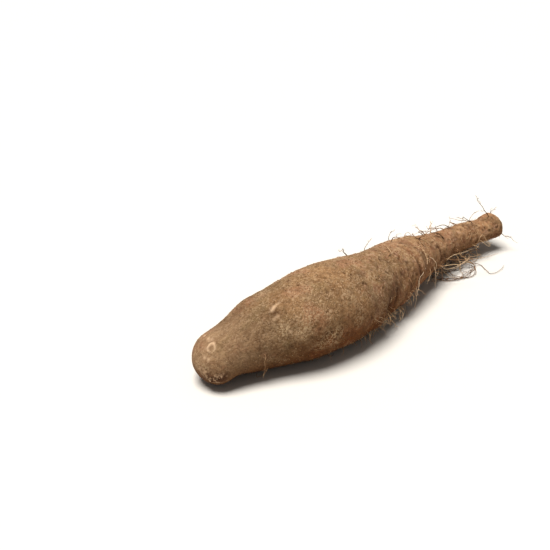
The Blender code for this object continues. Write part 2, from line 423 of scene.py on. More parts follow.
def distance_to_line(points, start, end):
    """Give each point's distance from the straight line between two places on the skin."""
    start = on_skin(start)
    along = on_skin(end) - start
    part = np.clip((points - start) @ along / (along @ along), 0, 1)
    return np.linalg.norm(points - start - part[..., None] * along, axis=-1)


def near(points, place, reach):
    """Rise from 0 to 1 towards a place on the skin, within about this reach; both are in millimetres."""
    away = np.linalg.norm(points - on_skin(place), axis=-1)
    return bell(away, reach * MM)


def root_scars():
    """Scatter the places of broken-off rootlets over the body and give each place, size and depth."""
    draw = random.Random(SEED + 1)
    share = []
    angle = []
    size = []
    depth = []
    for number in range(SCAR_COUNT):
        part = ((number + draw.random()) / SCAR_COUNT) ** SCAR_CROWDING
        x = SCAR_FIRST_X + part * (SCAR_LAST_X - SCAR_FIRST_X)
        share.append(share_at(x * MM))
        angle.append(draw.uniform(0, 2 * math.pi))
        size.append(draw.uniform(SCAR_SMALLEST, SCAR_SMALLEST + (SCAR_LARGEST - SCAR_SMALLEST) * part))
        depth.append(draw.uniform(0.45, 1.0))
    return plain_form(np.array(share), np.array(angle)), np.array(size) * MM, np.array(depth)


def scar_pits(points):
    """Give how near each point is to the bottom of a pit, and to the collar round one, from 0 to 1."""
    places, sizes, depths = root_scars()
    tree = kdtree.KDTree(len(places))
    for number, place in enumerate(places):
        tree.insert(place, number)
    tree.balance()
    found = [tree.find(point) for point in points.reshape(-1, 3)]
    number = np.array([item[1] for item in found])
    away = np.array([item[2] for item in found]) / sizes[number]
    pit = np.exp(-((away / 0.80) ** 3)) * depths[number]
    collar = bell(away - 1.5, 0.55) * depths[number]
    return pit.reshape(points.shape[:-1]), collar.reshape(points.shape[:-1])


def skin_zones(points, share):
    """Give each point's zone masks, from 0 to 1, by its place on the body."""
    x = points[..., 0] / MM
    blur = waves_at(points, 22 * MM, offset=3.1)
    ragged = 1 + 0.7 * waves_at(points, 1.6 * MM, offset=5.0)
    zones = {}
    zones["Tip"] = 1 - ramp(x + 12 * blur, 12, 46)
    zones["Neck"] = ramp(x + 26 * blur, 100, 200)
    zones["End"] = ramp(share, 1 - 0.92 * END_SHARE, 1 - 0.66 * END_SHARE)
    zones["Nub"] = np.exp(-((distance_to_line(points, *GROWTH_NUB) / (GROWTH_NUB_REACH * MM)) ** 2) * ragged)
    ring_away = np.linalg.norm(points - on_skin(RING_SCAR), axis=-1)
    ring_away = ring_away * (1 + 0.75 * waves_at(points, 3.2 * MM, offset=6.5))
    ring = bell(ring_away - RING_SCAR_RADIUS * MM, 0.75 * MM)
    zones["Ring"] = ring * (1 - 0.85 * near(points, RING_SCAR_GAP, 1.7))
    pale = zones["Ring"] * (0.95 + 0.5 * waves_at(points, 2.2 * MM, offset=9.0))
    for *place, reach in PALE_SPOTS:
        pale = np.maximum(pale, 0.8 * near(points, place, reach) ** ragged)
    for start, end, width, strength in WORN_STROKES:
        stroke = np.exp(-((distance_to_line(points, start, end) / (width * MM)) ** 2) * ragged)
        pale = np.maximum(pale, strength * stroke)
    crumbs = np.clip(0.50 + 1.5 * waves_at(points, 1.5 * MM, offset=8.0), 0, 1)
    for *place, reach, strength in CRUSTS:
        pale = np.maximum(pale, strength * near(points, place, reach) * crumbs)
    zones["Pale"] = np.clip(pale, 0, 1)
    dust = 0.5 * np.clip(2.2 * waves_at(points, 12 * MM, offset=27.0) - 0.1, 0, 1) * ramp(x, 22, 40)
    for *place, reach, strength in DUST_PATCHES:
        dust = np.maximum(dust, strength * near(points, place, reach))
    zones["Dust"] = dust * (1 - 0.6 * zones["Neck"])
    zones["Calm"] = ramp(x + 14 * blur, 88, 112)
    zones["Old"] = ramp(x + 3 * blur, 234, 249)
    rust = np.clip(waves_at(points, 15 * MM, offset=21.0) * 1.6 - 0.25, 0, 1) * 0.2
    for *place, reach, strength in RUST_PATCHES:
        rust = np.maximum(rust, strength * near(points, place, reach))
    zones["Rust"] = np.clip(rust * (1 + 0.8 * waves_at(points, 3 * MM, offset=2.0)), 0, 1)
    return zones


def placed_marks(points):
    """Give how deep the placed dents, creases and dark spots are, in millimetres, and how dark: painted shade
    in the dents and creases, the spots' own dark colour.
    """
    depth, dent_and_crease_shade, spots = np.zeros((3, *points.shape[:-1]))
    for start, end, width, dent_depth in DENTS:
        dent = bell(distance_to_line(points, start, end), width * MM)
        depth = depth + dent_depth * dent
        dent_and_crease_shade = np.maximum(dent_and_crease_shade, dent)
    for start, end, width, strength in CREASES:
        crease = strength * bell(distance_to_line(points, start, end), width * MM)
        depth = depth + CREASE_DEPTH * crease
        dent_and_crease_shade = np.maximum(dent_and_crease_shade, CREASE_SHADE * crease)
    for *place, reach, strength in DARK_SPOTS:
        spots = spots + strength * near(points, place, reach)
    return depth + DARK_SPOT_DEPTH * spots, DENT_SHADE * dent_and_crease_shade + DARK_SPOT_DARKNESS * spots


def skin_relief(points, zones):
    """Give the skin's fine relief, how dark each point is, from its own dark pits and spots and from painted
    shade in its hollows, and how high each knob is.
    """
    tip, neck = zones["Tip"], zones["Neck"]
    x = points[..., 0] / MM
    crust = (1 - 0.75 * tip) * (1 - 0.8 * zones["Calm"])
    shoulder = np.clip(neck * (1 - neck) * 4, 0, 1)
    broad = waves_at(points, 6.5 * MM, offset=1.0)
    middling = waves_at(points, 3.0 * MM, offset=4.0)
    grainy = waves_at(points, 1.7 * MM, offset=7.0)
    knobs = waves_at(points, 5.0 * MM, stretch=(0.8, 1.2, 1.2), offset=11.0) + 0.2 * middling
    creases = 1 - np.abs(waves_at(points, 5.0 * MM, stretch=(0.7, 1.6, 1.6), offset=13.0))
    creases = np.clip(creases - 0.82, 0, 1) / 0.18
    furrows = 1 - np.abs(waves_at(points, 7.0 * MM, stretch=(0.5, 1.8, 1.8), offset=19.0))
    furrows = np.clip(furrows - 0.88, 0, 1) / 0.12 * shoulder
    pit, collar = scar_pits(points)
    pit = pit * (1 - tip)
    collar = collar * (1 - tip) * (0.3 + 0.7 * neck)
    relief = BROAD_HEIGHT * broad * (1 - 0.4 * tip)
    relief = relief + MIDDLING_HEIGHT * middling * crust
    relief = relief + GRAINY_HEIGHT * grainy * crust
    relief = relief + KNOB_HEIGHT * knobs * neck
    folded = ramp(x, 92, 118) * (1 - ramp(x, 180, 205)) * (1 - ramp(points[..., 2] / MM, 18, 38))
    folds = waves_at(points, 7.0 * MM, stretch=(0.6, 2.2, 2.2), offset=23.0)
    relief = relief + FOLD_HEIGHT * folds * folded
    relief = relief - FINE_CREASE_DEPTH * creases * (1 - tip) - FURROW_DEPTH * furrows
    relief = relief - PIT_DEPTH * pit + COLLAR_HEIGHT * collar
    relief = relief + RING_HEIGHT * zones["Ring"] - WORN_DEPTH * zones["Pale"]
    relief = relief + zones["Nub"] * (0.9 + 1.3 * waves_at(points, 2.0 * MM, offset=15.0))
    relief = relief + zones["End"] * (0.7 * waves_at(points, 2.4 * MM, stretch=(3, 1, 1), offset=17.0))
    mark_depth, mark_dark_and_shade = placed_marks(points)
    relief = relief - mark_depth
    # Darkness of the pits and placed spots is the skin's own; darkness in creases, dents, grain hollows,
    # folds, furrows and knob hollows is painted shade
    dark = mark_dark_and_shade + pit * (1 - 0.4 * neck) + 0.06 * creases * neck
    dark = dark + 0.45 * np.clip(-grainy - middling, 0, 1) * crust
    dark = dark + 2.2 * np.clip(-folds - 0.10, 0, 1) * folded
    dark = dark + 0.55 * furrows + 0.12 * np.clip(-knobs - 0.2, 0, 1) * neck
    dark = dark + 0.8 * np.clip(zones["Nub"] * (1 - zones["Nub"]) * 4 - 0.35, 0, 1)
    ridge = np.clip(0.5 + knobs, 0, 1)
    return relief * MM, np.clip(dark, 0, 1), ridge


def grid_faces(rows, sides):
    """Give the faces of a closed grid: rings of points from row to row, and a single point at each end."""
    ring = np.arange(sides)
    beside = (ring + 1) % sides
    row = np.arange(rows - 2)[:, None] * sides
    quads = np.stack((row + ring, row + beside, row + sides + beside, row + sides + ring), axis=-1)
    first = (rows - 1) * sides
    last = first + 1
    top = (rows - 2) * sides
    faces = quads.reshape(-1, 4).tolist()
    faces += [(first, int(b), int(a)) for a, b in zip(ring, beside)]
    faces += [(last, int(top + a), int(top + b)) for a, b in zip(ring, beside)]
    return faces


def add_values(mesh_data, name, values):
    """Keep one number for each point of the mesh under this name."""
    kept = mesh_data.attributes.new(name, "FLOAT", "POINT")
    kept.data.foreach_set("value", np.ascontiguousarray(values, dtype=np.float32))


def add_piece(name, mesh_data, material):
    """Put a smooth mesh with this material in the scene, as a piece of the tuber."""
    mesh_data.shade_smooth()
    mesh_data.materials.append(material)
    piece = bpy.data.objects.new(name, mesh_data)
    bpy.context.scene.collection.objects.link(piece)
    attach(piece, "root")
    return piece


def low_shade(points, normal, neck):
    """Give how far each point faces down, from 0 for the top to 1 for the underside, as the strength of the
    painted shade there.
    """
    facing = np.degrees(np.arcsin(np.clip(normal[:, 2], -1, 1)))
    facing = facing + PAINTED_SHADE_SHIFT_AT_TIP * (1 - ramp(points[:, 0] / MM, 40, 65))
    facing = facing + 10 * waves_at(points, 13 * MM, offset=41.0)
    folded = ramp(points[:, 0] / MM, 92, 112) * (1 - ramp(points[:, 0] / MM, 180, 205))
    facing = facing + 26 * folded * waves_at(points, 5 * MM, stretch=(0.8, 1.5, 1.5), offset=42.0)
    return ramp(-facing, -PAINTED_SHADE_BAND[0], -PAINTED_SHADE_BAND[1]) * (1 - 0.35 * neck)


def lightness(points):
    """Give how light the skin is at each point, as a share of its usual colour."""
    stations, values = np.array(LIGHTNESS, dtype=float).T
    strayed = points[:, 0] / MM + 7 * waves_at(points, 18 * MM, offset=43.0)
    light = smooth_through(stations, values, strayed)
    blotches = np.clip(2.2 * waves_at(points, 8 * MM, offset=47.0) - 0.2, 0, 1)
    light = light * (1 - 0.24 * blotches * ramp(points[:, 0] / MM, 88, 105))
    return light * (1 + 0.10 * waves_at(points, 9 * MM, offset=45.0))


def make_skin(material):
    """Make the whole skin of the tuber as one fine closed mesh with its relief and zones."""
    rows = np.linspace(0, 1, SKIN_ROWS + 1)[1:-1]
    turns = np.arange(SKIN_SIDES) / SKIN_SIDES * 2 * math.pi
    share, angle = (grid.ravel() for grid in np.meshgrid(rows, turns, indexing="ij"))
    share = np.append(share, (0.0, 1.0))
    angle = np.append(angle, (0.0, 0.0))
    plain = plain_form(share, angle)
    zones = skin_zones(plain, share)
    relief, dark, ridge = skin_relief(plain, zones)
    height = body_height(plain) + relief
    normal = outward(share, angle)
    points = laid_on_ground(plain + normal * height[..., None])

    mesh_data = bpy.data.meshes.new("tuber_skin")
    mesh_data.from_pydata(points, [], grid_faces(SKIN_ROWS, SKIN_SIDES))
    for name, values in zones.items():
        add_values(mesh_data, name, values)
    # Dark pits and spots, with painted shade in the hollows, creases and folds
    add_values(mesh_data, "DarkMarksAndShade", dark)
    add_values(mesh_data, "Ridge", ridge)
    # Painted shade: darker and warmer the more the skin faces down
    add_values(mesh_data, "PaintedShade", low_shade(plain, normal, zones["Neck"]))
    add_values(mesh_data, "Light", lightness(plain))
    piece = add_piece("tuber_skin", mesh_data, material)
    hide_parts("tuber")
    return piece


# Rootlets in detail: how thick they are at the root and at the far end, and how they wander
ROOTLET_SIDES = 6
ROOTLET_POINTS = 34
ROOTLET_RADIUS = 0.42 * MM
ROOTLET_END_RADIUS = 0.12 * MM
ROOTLET_WANDER = 0.55 * MM
BRANCHES_A_ROOTLET = 3
BRANCH_POINTS = 10
BRANCH_RADIUS = 0.13 * MM
BRANCH_END_RADIUS = 0.05 * MM

# Which free rootlets are dry and dark, at the neck's end, and which are pale and brightened with painted
# light, on the side seen best
DARK_ROOTLETS = (7, 8, 9, 10)
PAINTED_LIGHT_ROOTLETS = (0, 1)

# Hairs that lie on the skin: how many, how long, and how thick
HAIR_COUNT = 360
HAIR_POINTS = 11
HAIR_SIDES = 4
HAIR_FIRST_X = 34
HAIR_LAST_X = 247
HAIR_CROWDING = 0.45
HAIR_SHORTEST = 2.0
HAIR_LONGEST = 9.0
HAIR_RADIUS = (0.06 * MM, 0.13 * MM)
HAIR_SINK = 0.7 * MM
HAIR_STAND_OFF = (0.1 * MM, 0.5 * MM)
LOOSE_HAIR_SHARE = 0.05
LOOSE_HAIR_STAND_OFF = 1.2 * MM

# Curly strands in loose tangles. Each tangle has a count, the stretch of the body and the angles round it
# that its strands grow from, their lengths, all in millimetres and degrees, how tightly they curl in radians
# a millimetre, how far they fall, and how dry and dark they are.
TANGLES = (
    (34, (180, 232), (190, 285), (10, 26), (0.14, 0.38), 0.04, 0.30),
    (40, (184, 226), (225, 300), (10, 22), (0.16, 0.40), 0.10, 0.85),
    (54, (106, 152), (188, 236), (4, 11), (0.20, 0.50), 0.03, 0.10),
    (12, (158, 204), (60, 96), (9, 20), (0.03, 0.12), 0.20, 0.35),
    (8, (196, 250), (300, 380), (6, 16), (0.08, 0.30), 0.08, 0.35),
    (10, (242, 250), (60, 320), (2, 5), (0.15, 0.45), 0.04, 0.70),
    (22, (60, 110), (200, 250), (3, 9), (0.15, 0.45), 0.04, 0.30),
)

# Long loose loops, most of them under the neck: how dry and dark each is, below zero brightened with painted
# light, how many strands follow it, and its points in millimetres from the tip
LOOPS = (
    (-0.2, 2,
     ((196, -2.5, 13), (198, -2.2, 14), (207, -0.5, 12.5), (217, 1, 10.5), (230, 4, 7.5), (236, 6, 5))),
    (-0.3, 2,
     ((186, -3, 16), (189, -3, 12), (194, -4, 8), (204, -3.5, 6), (215, -2, 6), (219, -1.5, 7))),
    (0.20, 1,
     ((206.5, -0.5, 13), (209, -1.6, 6), (208, -4.5, 1), (207, -7, 0.6))),
    (0.50, 2,
     ((210, 0, 13), (214, -1.5, 8), (218.6, -3, 4), (219.5, -6, 1), (214, -8, 0.8), (209, -5, 0.8))),
    (0.75, 3,
     ((190, 0, 6), (195, 2, 3), (201, 1, 1), (207, 0, 0.8), (214, -1, 1))),
    (0.70, 3,
     ((185, -2, 5), (190, -3, 1), (200, -9.5, 0.8), (208, -9.6, 0.8), (215, -7, 0.8), (220, -2, 1))),
    (0.75, 2,
     ((190, 0, 4), (194, -6, 1), (201, -10, 1), (206, -8, 1), (213, -7, 1), (219, -6, 1), (223, 0, 1))),
    (0.65, 2,
     ((203, 6, 7), (200, -4, 2), (205, -11, 1), (213, -12, 1), (219, -6, 1), (216, 0, 2), (210, -1, 4))),
    (0.80, 1,
     ((214, -2, 5), (225, -5, 1), (223, -11.5, 1), (222, -17.5, 1), (228, -18.6, 1), (236, -16, 1))),
    (0.30, 1,
     ((36, -20, 8), (37, -16.5, 3), (36.5, -15, 1), (34.3, -16.2, 1), (32, -15, 1), (34.6, -12.2, 1))),
    (-0.4, 1,
     ((165, -13.8, 23.6), (161.5, -16, 23), (158.7, -17.3, 22.3), (155, -18.6, 20.8))),
    (-0.4, 1,
     ((155, -18.6, 20.8), (153.3, -20.1, 16.5), (152.3, -20.1, 12.5), (152.8, -19.0, 9))),
    (-0.4, 1,
     ((173, -9.3, 26.2), (176, -9.2, 23.8), (178.5, -9.2, 20.2), (178.8, -9.5, 16))),
)
LOOP_SPREAD = 0.9 * MM
LOOP_RADIUS = (0.21 * MM, 0.13 * MM)
CURL_POINTS = 34
CURL_RADIUS = (0.08 * MM, 0.19 * MM)
BODY_GAP = 0.35 * MM

# Dry soil grains on the skin
GRAIN_COUNT = 9000
GRAIN_SIZE = (0.16 * MM, 0.46 * MM)
GRAIN_FIRST_X = 8
GRAIN_LAST_X = 250


def point_steps(points):
    """Give the direction of each path at each of its points."""
    steps = np.gradient(points, axis=1)
    return steps / np.maximum(np.linalg.norm(steps, axis=-1, keepdims=True), 1e-12)


def tube_mesh(name, paths, radii, sides):
    """Make thin closed tubes along paths of equal point counts, each ending in a point."""
    count, length = radii.shape
    forward = point_steps(paths)
    aside = np.cross(forward[:, 0], (0.31, 0.52, 0.79))
    turns = np.arange(sides) / sides * 2 * math.pi
    rings = np.empty((count, length, sides, 3))
    for place in range(length):
        along = forward[:, place]
        aside = aside - along * np.sum(aside * along, axis=-1, keepdims=True)
        aside = aside / np.maximum(np.linalg.norm(aside, axis=-1, keepdims=True), 1e-12)
        across = np.cross(along, aside)
        spokes = np.cos(turns)[:, None] * aside[:, None] + np.sin(turns)[:, None] * across[:, None]
        rings[:, place] = paths[:, place, None] + spokes * radii[:, place, None, None]
    overshoot = forward[:, -1] * radii[:, -1:] * 2
    ends = np.stack((paths[:, 0], paths[:, -1] + overshoot), axis=1)

    ring = np.arange(sides)
    beside = (ring + 1) % sides
    row = np.arange(length - 1)[:, None] * sides
    quads = np.stack((row + ring, row + beside, row + sides + beside, row + sides + ring), -1).reshape(-1, 4)
    root, tip = length * sides, length * sides + 1
    last = (length - 1) * sides
    root_faces = np.stack((np.full(sides, root), beside, ring), -1)
    tip_faces = np.stack((np.full(sides, tip), last + ring, last + beside), -1)
    block = length * sides + 2
    shift = np.arange(count)[:, None, None] * block
    points = np.concatenate((rings.reshape(count, -1, 3), ends), axis=1).reshape(-1, 3)
    faces = (quads[None] + shift).reshape(-1, 4).tolist()
    faces += (np.concatenate((root_faces, tip_faces))[None] + shift).reshape(-1, 3).tolist()
    mesh_data = bpy.data.meshes.new(name)
    mesh_data.from_pydata(points, [], faces)
    return mesh_data


def spread_over_tube(values, sides):
    """Repeat each path point's value for every point of its tube."""
    rings = np.repeat(values, sides, axis=1)
    return np.concatenate((rings, values[:, :1], values[:, -1:]), axis=1).ravel()


def wander(count, length, draw, slow=2.0):
    """Give smooth sideways wandering for a path, from nothing at its root."""
    part = np.linspace(0, 1, length)
    path = np.zeros((length, 3))
    for axis in range(3):
        for octave in range(1, count + 1):
            phase = draw.uniform(0, 2 * math.pi)
            size = draw.uniform(0.5, 1.0) / octave
            path[:, axis] += size * (np.sin(slow * octave * math.pi * part + phase) - math.sin(phase))
    return path * ramp(part, 0.0, 0.35)[:, None]


def keep_above_ground(points, gap):
    """Lift the points of a path that would come nearer the ground than this gap."""
    points[..., 2] = np.where(points[..., 2] < gap, gap + 0.12 * (gap - points[..., 2]), points[..., 2])
    return points


def kept_in_box(paths):
    """Draw each path in towards its root, so that none goes out past the solid's own box."""
    low, high = (np.array(corner) for corner in cad_box)
    root = paths[:, :1]
    steps = paths - root
    room = np.where(steps > 0, high - root, low - root)
    share = np.where(np.abs(steps) > 1e-9, room / np.where(np.abs(steps) > 1e-9, steps, 1), 1.0)
    share = np.clip(share.min(axis=(1, 2), keepdims=True), 0.05, 1)
    return root + steps * share


def free_rootlet_points(x, angle, reach, bow):
    """Give the points of a rootlet that leaves the skin squarely and ends free, on one bent curve."""
    share = share_at(x)
    root = body_form(np.array([share]), np.array([angle]))[0]
    normal = outward(np.array([share]), np.array([angle]))[0]
    start = root - normal * ROOTLET_SINK
    end = root + reach
    bend = root + normal * bow + reach * 0.25
    part = np.linspace(0, 1, ROOTLET_POINTS)[:, None]
    return start * (1 - part) ** 2 + 2 * bend * part * (1 - part) + end * part**2


def skin_rootlet_points(x, angle, length, heading, stand_off, bend):
    """Give the points of a rootlet that curls over the skin, heading 0 towards the neck."""
    part = np.linspace(0, 1, ROOTLET_POINTS)
    half_width = section_at(np.array([x]))[1][0]
    turn = heading + bend * part
    x_path = x + length * part * np.cos(turn)
    angle_path = angle + length * part * np.sin(turn) / half_width
    share = share_at(x_path)
    normal = outward(share, angle_path)
    height = -ROOTLET_SINK + (ROOTLET_SINK + stand_off) * np.sin(np.clip(part * 2.2, 0, 1) * math.pi / 2)
    height = height + stand_off * part**3
    return body_form(share, angle_path) + normal * height[:, None]


def all_rootlet_paths():
    """Give the path of every main rootlet, on the solid's own routes, and how dry each one is, with painted
    light on the pale ones.
    """
    wander_draw = random.Random(SEED + 2)
    paths = []
    dryness_and_light = []
    for number, (x, angle, *reach, bow) in enumerate(FREE_ROOTLETS):
        path = free_rootlet_points(x * MM, math.radians(angle), np.array(reach) * MM, bow * MM)
        paths.append(path + wander(4, ROOTLET_POINTS, wander_draw) * ROOTLET_WANDER)
        dry = 0.85 if number in DARK_ROOTLETS else wander_draw.uniform(0.0, 0.35)
        # Painted light: a tone below zero makes a strand brighter than pale straw
        dryness_and_light.append(-0.55 if number in PAINTED_LIGHT_ROOTLETS else dry)
    draw = random.Random(SEED)
    for number in range(SKIN_ROOTLET_COUNT):
        part = ((number + 0.5) / SKIN_ROOTLET_COUNT) ** SKIN_ROOTLET_CROWDING
        x = SKIN_ROOTLET_FIRST_X + part * (SKIN_ROOTLET_LAST_X - SKIN_ROOTLET_FIRST_X)
        angle = number * GOLDEN_TURN + draw.uniform(-SKIN_ROOTLET_ANGLE_PLAY, SKIN_ROOTLET_ANGLE_PLAY)
        longest = SKIN_ROOTLET_LONGEST + SKIN_ROOTLET_EXTRA_AT_NECK * part
        length = draw.uniform(SKIN_ROOTLET_SHORTEST, longest)
        heading = draw.uniform(-math.pi, math.pi)
        stand_off = draw.uniform(*SKIN_ROOTLET_STAND_OFF)
        bend = draw.uniform(-SKIN_ROOTLET_MOST_BEND, SKIN_ROOTLET_MOST_BEND)
        path = skin_rootlet_points(x, angle, length, heading, stand_off, bend)
        paths.append(path + wander(3, ROOTLET_POINTS, wander_draw) * ROOTLET_WANDER * 0.5)
        dryness_and_light.append(wander_draw.uniform(0.1, 0.9))
    paths = keep_above_ground(np.array(paths), GROUND_GAP)
    return paths, np.array(dryness_and_light)


def taper(count, length, first, last):
    """Give each path's radii, from the first at the root to the last at the far end."""
    part = np.linspace(0, 1, length)
    return np.broadcast_to(first + (last - first) * part**0.8, (count, length)).copy()


def make_rootlets(material):
    """Make the main rootlets with their small side branches."""
    paths, dryness_and_light = all_rootlet_paths()
    radii = taper(len(paths), ROOTLET_POINTS, ROOTLET_RADIUS, ROOTLET_END_RADIUS)
    radii[:, :4] *= np.array((1.7, 1.5, 1.3, 1.1))
    draw = random.Random(SEED + 3)
    radii *= np.array([[draw.uniform(0.6, 1.05)] for _ in paths])
    radii *= 1 + 0.14 * np.array([[draw.uniform(-1, 1) for _ in range(ROOTLET_POINTS)] for _ in paths])
    mesh_data = tube_mesh("rootlets", paths, radii, ROOTLET_SIDES)
    part = np.linspace(0, 1, ROOTLET_POINTS)[None]
    tone = np.clip(dryness_and_light[:, None] + 0.25 * (1 - part) - 0.10 * part, -0.5, 1)
    add_values(mesh_data, "Tone", spread_over_tube(tone, ROOTLET_SIDES))
    piece = add_piece("rootlets", mesh_data, material)
    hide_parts("tuber")

    forward = point_steps(paths)
    branches = []
    tones = []
    for path, steps, dry in zip(paths, forward, dryness_and_light):
        for _ in range(BRANCHES_A_ROOTLET):
            place = draw.randrange(ROOTLET_POINTS // 3, ROOTLET_POINTS - 2)
            aside = np.cross(steps[place], [draw.uniform(-1, 1) for _ in range(3)])
            aside = aside / np.linalg.norm(aside)
            length = draw.uniform(1.5, 6.0) * MM
            line = np.linspace(0, 1, BRANCH_POINTS)[:, None]
            branch = path[place] + length * line * (aside * (1 - 0.5 * line) + steps[place] * 0.6)
            branches.append(branch + wander(3, BRANCH_POINTS, draw) * length * 0.10)
            tones.append(dry)
    branches = kept_in_box(keep_above_ground(np.array(branches), 0.3 * MM))
    radii = taper(len(branches), BRANCH_POINTS, BRANCH_RADIUS, BRANCH_END_RADIUS)
    mesh_data = tube_mesh("rootlet_branches", branches, radii, HAIR_SIDES)
    tone = np.broadcast_to(np.array(tones)[:, None], radii.shape)
    add_values(mesh_data, "Tone", spread_over_tube(tone, HAIR_SIDES))
    add_piece("rootlet_branches", mesh_data, material)


def make_hairs(material):
    """Make the fine hairs that lie on the skin and droop round it, thickest on the neck."""
    draw = random.Random(SEED + 4)
    part = np.linspace(0, 1, HAIR_POINTS)
    x_paths, angle_paths, heights, radii, tones = [], [], [], [], []
    for number in range(HAIR_COUNT):
        far = ((number + draw.random()) / HAIR_COUNT) ** HAIR_CROWDING
        x = (HAIR_FIRST_X + far * (HAIR_LAST_X - HAIR_FIRST_X)) * MM
        angle = draw.uniform(0, 2 * math.pi)
        half_width = section_at(np.array([x]))[1][0]
        down = math.pi / 2 if math.cos(angle) < 0 else -math.pi / 2
        heading = down + draw.gauss(0, 1.5)
        length = draw.uniform(HAIR_SHORTEST, HAIR_SHORTEST + (HAIR_LONGEST - HAIR_SHORTEST) * far) * MM
        bend = draw.gauss(0, 1.5)
        curl = draw.uniform(0.1, 0.6)
        turn = heading + bend * part + curl * np.sin(part * draw.uniform(5, 11))
        step = length / (HAIR_POINTS - 1)
        x_paths.append(x + np.concatenate(([0], np.cumsum(np.cos(turn[1:]) * step))))
        angle_paths.append(angle + np.concatenate(([0], np.cumsum(np.sin(turn[1:]) * step))) / half_width)
        flat = 1 - 0.7 * max(math.sin(angle), 0) ** 2
        stand_off = draw.uniform(*HAIR_STAND_OFF) * (1 + 0.8 * far) * flat
        if draw.random() < LOOSE_HAIR_SHARE:
            stand_off += LOOSE_HAIR_STAND_OFF * draw.random() * flat
        rise = -HAIR_SINK + (HAIR_SINK + stand_off) * np.sin(np.clip(part * 3, 0, 1) * math.pi / 2)
        lift = stand_off * draw.uniform(-0.6, 1.6) * part**2
        heights.append(rise + lift)
        thick = draw.uniform(*HAIR_RADIUS)
        radii.append(thick * (1.2 - 0.8 * part))
        tones.append(np.full(HAIR_POINTS, 0.75 * draw.random()))
    share = share_at(np.array(x_paths))
    angle = np.array(angle_paths)
    paths = body_form(share, angle) + outward(share, angle) * np.array(heights)[..., None]
    paths = kept_in_box(keep_above_ground(paths, 0.2 * MM))
    mesh_data = tube_mesh("skin_hairs", paths, np.array(radii), HAIR_SIDES)
    add_values(mesh_data, "Tone", spread_over_tube(np.array(tones), HAIR_SIDES))
    add_piece("skin_hairs", mesh_data, material)


def pushed_out(points):
    """Move points that are inside the body out to just above its skin."""
    x, y, z = points[:, 0] + MIDDLE_X, points[:, 1] + MIDDLE_Y, points[:, 2]
    middle_y, half_width, low, top = section_at(x)
    middle_z, half_height = (low + top) / 2, (top - low) / 2 + BODY_GAP
    out = np.hypot((y - middle_y) / (half_width + BODY_GAP), (z - middle_z) / half_height)
    grow = np.where((out < 1) & (x < BODY_LENGTH), 1 / np.maximum(out, 0.2), 1.0)
    pushed = points.copy()
    pushed[:, 1] = middle_y + (y - middle_y) * grow - MIDDLE_Y
    pushed[:, 2] = middle_z + (z - middle_z) * grow
    return pushed


def tangle_paths(count, stretch, angles, lengths, curls, fall, draw):
    """Grow curly strands out of the skin: each leaves it squarely, curls, falls a little and lies down."""
    x = draw.uniform(*stretch, count) * MM
    angle = np.radians(draw.uniform(*angles, count))
    share = share_at(x)
    normal = outward(share, angle)
    place = body_form(share, angle) - normal * HAIR_SINK
    step = draw.uniform(*lengths, count) * MM / (CURL_POINTS - 1)
    curl = draw.uniform(*curls, count) / MM * step * draw.choice((-1, 1), count)
    axis = draw.normal(size=(count, 3)) * (0.6, 0.6, 1.0)
    axis = axis / np.linalg.norm(axis, axis=-1, keepdims=True)
    heading = normal + 0.5 * draw.normal(size=(count, 3))
    paths = [place]
    for number in range(1, CURL_POINTS):
        free = min(number / 5, 1)
        heading = heading + np.cross(axis, heading) * curl[:, None] * free
        heading = heading + 0.10 * draw.normal(size=(count, 3)) - np.array((0, 0, fall)) * free
        heading = heading / np.linalg.norm(heading, axis=-1, keepdims=True)
        place = place + heading * step[:, None]
        if number > 3:
            place = pushed_out(place)
        heading[:, 2] = np.where(place[:, 2] < 2 * BODY_GAP, np.maximum(heading[:, 2], 0), heading[:, 2])
        place[:, 2] = np.maximum(place[:, 2], BODY_GAP)
        paths.append(place)
    return np.stack(paths, axis=1)


def loop_paths():
    """Give the long loops, each with finer copies that stray from it, and how dry and thick each one is, with
    painted light where the dryness is below zero.
    """
    draw = random.Random(SEED + 8)
    part = np.linspace(0, 1, CURL_POINTS)
    paths, dryness_and_light, radii = [], [], []
    for dry, copies, places in LOOPS:
        places = np.array(places, dtype=float) * MM - np.array((MIDDLE_X, MIDDLE_Y, 0.0))
        stations = np.linspace(0, 1, len(places))
        line = np.stack([smooth_through(stations, column, part) for column in places.T], axis=-1)
        for copy in range(copies):
            stray = wander(3, CURL_POINTS, draw, 2.6) * LOOP_SPREAD * copy
            path = line + stray + wander(4, CURL_POINTS, draw, 4.0) * 0.20 * MM
            path[3:] = pushed_out(path[3:])
            paths.append(keep_above_ground(path, BODY_GAP))
            dryness_and_light.append(dry + 0.15 * copy)
            radii.append(LOOP_RADIUS[min(copy, 1)])
    return paths, dryness_and_light, radii


def make_tangles(material):
    """Make the curly strands and long loops under and on the neck and along the belly."""
    draw = np.random.default_rng(SEED + 6)
    loops, dryness_and_light, loop_radii = loop_paths()
    paths, tones = [loops], [dryness_and_light]
    for count, stretch, angles, lengths, curls, fall, dryness_and_light in TANGLES:
        paths.append(tangle_paths(count, stretch, angles, lengths, curls, fall, draw))
        tones.append(np.clip(dryness_and_light + draw.normal(0, 0.22, count), 0, 1))
    paths = kept_in_box(np.concatenate(paths))
    tones = np.concatenate(tones)
    part = np.linspace(0, 1, CURL_POINTS)
    radii = draw.uniform(*CURL_RADIUS, (len(paths), 1))
    radii[: len(loops), 0] = loop_radii
    radii = radii * (1.15 - 0.65 * part)
    mesh_data = tube_mesh("tangled_rootlets", paths, radii, HAIR_SIDES + 1)
    tone = np.broadcast_to(tones[:, None], radii.shape)
    add_values(mesh_data, "Tone", spread_over_tube(tone, HAIR_SIDES + 1))
    add_piece("tangled_rootlets", mesh_data, material)


